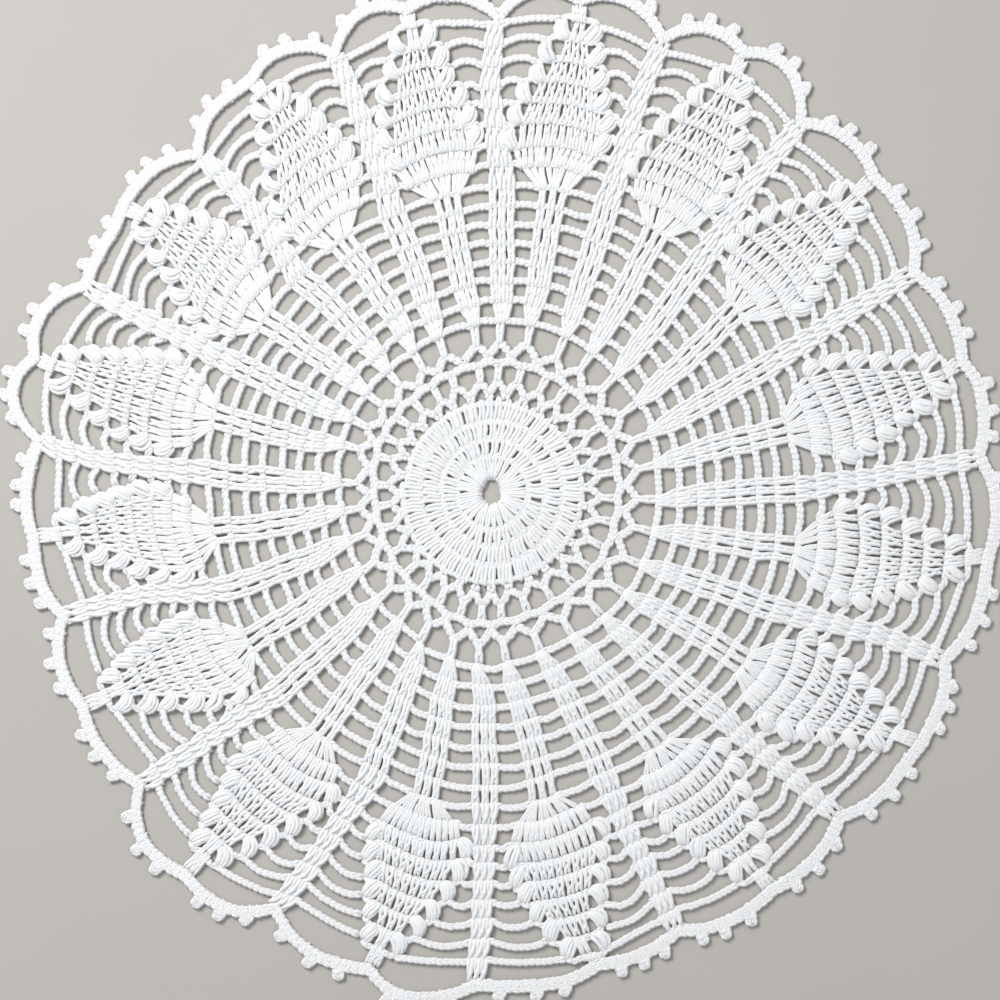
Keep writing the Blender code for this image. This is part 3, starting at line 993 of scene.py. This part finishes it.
def rimLine(gap, share):  # bearing and radius of the outer edge, a share of the way across a gap
    share = np.asarray(share, float)
    here, after = gap % count, (gap + 1) % count
    start = math.radians(bearings[here, -1] + 360 * (gap // count))
    end = math.radians(bearings[after, -1] + 360 * ((gap + 1) // count))
    crown = crowns[here] + rim["band"]
    fromDivider = 1 - share if gap % 2 else share
    valley, dip = (edges[after], edges[here]) if gap % 2 else (edges[here], edges[after])
    near = np.clip(1 - fromDivider / rim["apex"], 0, 1) ** rim["valleyCurve"]
    far = np.clip((fromDivider - rim["apex"]) / (1 - rim["apex"]), 0, 1) ** rim["dipCurve"]
    return start + (end - start) * share, crown + (valley - crown) * near + (dip - crown) * far


def makeTips():  # posts from a pineapple's last row to the rim
    threads = []
    for number in pineapples:
        edge = edges[number] - rim["band"] + tip["edgeMore"]
        for aside in three:
            foot = rowSpot(number, lastRow, aside * tip["foot"], tip["footOut"])
            angle = math.radians(bearings[number, -1]) + aside * tip["top"] / edge
            threads += doubles(foot, onBed(angle, edge), *tip["widths"])
    return threads


def makeRim():
    share = np.linspace(0, 1, rim["points"], endpoint=False)
    parts = [rimLine(gap, share) for gap in range(count)]
    angle = np.concatenate([p[0] for p in parts] + [[parts[0][0][0] + 2 * math.pi]])
    edge = np.concatenate([p[1] for p in parts] + [[parts[0][1][0]]])
    base = onBed(angle, edge - rim["baseIn"])[::-1]
    head = onBed(angle, edge - rim["headIn"])[::-1]
    threads = chain(base, linksFor(base, rim["basePitch"]), rim["chainWidth"], rim["chainThick"])
    many = linksFor(head, rim["headPitch"])
    threads += chain(head, many, rim["chainWidth"], rim["chainThick"])
    steps = np.linspace(0, len(angle) - 1, many, endpoint=False)
    at = np.interp(steps, np.arange(len(angle)), angle)
    outer = np.interp(steps, np.arange(len(angle)), edge)
    postIn, postOut = rim["postPast"]
    feet = onBed(at, outer - rim["baseIn"] - postIn)
    return threads + shorts(feet, onBed(at, outer - rim["headIn"] + postOut), rim["postWidth"])


def picotLoop():  # up one side, round and down the other, as (aside, outward)
    turn, leg = picot["turn"], picot["leg"]
    footShare, footOut = picot["foot"]
    half = np.linspace(math.pi, 0, picot["turnPoints"])
    bend = np.stack([turn * np.cos(half), leg + turn * np.sin(half)], -1)
    before = [[-turn * footShare, footOut], [-turn, 0.5 * leg]]
    after = [[turn, 0.5 * leg], [turn * footShare, footOut]]
    return np.vstack([before, bend, after])


def makePicots():
    threads = []
    loop, core = picotLoop(), np.array(picot["core"])
    for gap in range(count):
        for share in picot["places"]:
            share = share + chance.normal(0, picot["stray"])
            angle, edge = rimLine(gap, 1 - share if gap % 2 else share)
            lean = chance.normal(picot["lean"], picot["leanUneven"])
            foot = onBed(angle, edge - picot["sunk"])
            out = np.array([np.sin(angle + lean), np.cos(angle + lean)])
            side = np.array([out[1], -out[0]])
            line = foot + loop[:, :1] * side + loop[:, 1:] * out
            threads += chain(line, picot["links"], picot["width"])
            inside = np.concatenate([foot + core[:, :1] * out, core[:, 1:]], -1)
            threads.append((inside[None], picot["coreThick"], thread["loopSides"]))
    return threads


makePiece("rim", makeRim() + makePicots() + makeTips(), cottonThread)

floor = {
    "size": 3.0,
    "colour": (0.46, 0.44, 0.41, 1.0),
    "speck": (0.50, 0.48, 0.45, 1.0),
    "cloud": (6.0, 4.0),  # scale and detail
    "roughness": 0.9,
}


def makeFloor():
    made = bmesh.new()
    bmesh.ops.create_grid(made, x_segments=1, y_segments=1, size=floor["size"] / 2)
    mesh = bpy.data.meshes.new("floor")
    made.to_mesh(mesh)
    made.free()
    material, wire, shader = newMaterial("pale_floor")
    place = wire.node("ShaderNodeTexCoord", {}, {}, "Object")
    colour = mixColours(wire, noise(wire, place, *floor["cloud"]), floor["colour"], floor["speck"])
    wire.tree.links.new(colour.socket, shader.inputs["Base Color"])
    shader.inputs["Roughness"].default_value = floor["roughness"]
    mesh.materials.append(material)
    piece = bpy.data.objects.new("floor", mesh)
    bpy.context.scene.collection.objects.link(piece)


makeFloor()
print("floor laid")

studio = {
    "camera": (-2.12, -2.79, 1075.3),  # straight above, in millimetres
    "lens": 85,
    "key": ((-0.75, 0.85, 1.25), 0.7, 26.0),  # place and width in metres, and power
    "fill": ((0.9, -0.6, 1.5), 1.6, 5.0),
    "world": (0.94, 0.96, 1.0, 1.0),
    "worldStrength": 0.4,
}


def makeStudio():
    camera = bpy.data.objects.new("camera", bpy.data.cameras.new("camera"))
    camera.data.lens = studio["lens"]
    camera.location = [place * mm for place in studio["camera"]]
    bpy.context.scene.collection.objects.link(camera)
    bpy.context.scene.camera = camera
    for name in ("key", "fill"):
        place, size, power = studio[name]
        light = bpy.data.objects.new(name, bpy.data.lights.new(name, "AREA"))
        light.data.size = size
        light.data.energy = power
        light.location = place
        light.rotation_euler = (-light.location).to_track_quat("-Z", "Y").to_euler()
        bpy.context.scene.collection.objects.link(light)
    world = bpy.data.worlds.new("studio")
    world.use_nodes = True
    background = world.node_tree.nodes["Background"]
    background.inputs["Color"].default_value = studio["world"]
    background.inputs["Strength"].default_value = studio["worldStrength"]
    bpy.context.scene.world = world
    bpy.context.scene.view_settings.view_transform = "Standard"  # keeps the cotton white


makeStudio()
print("camera and lights set")
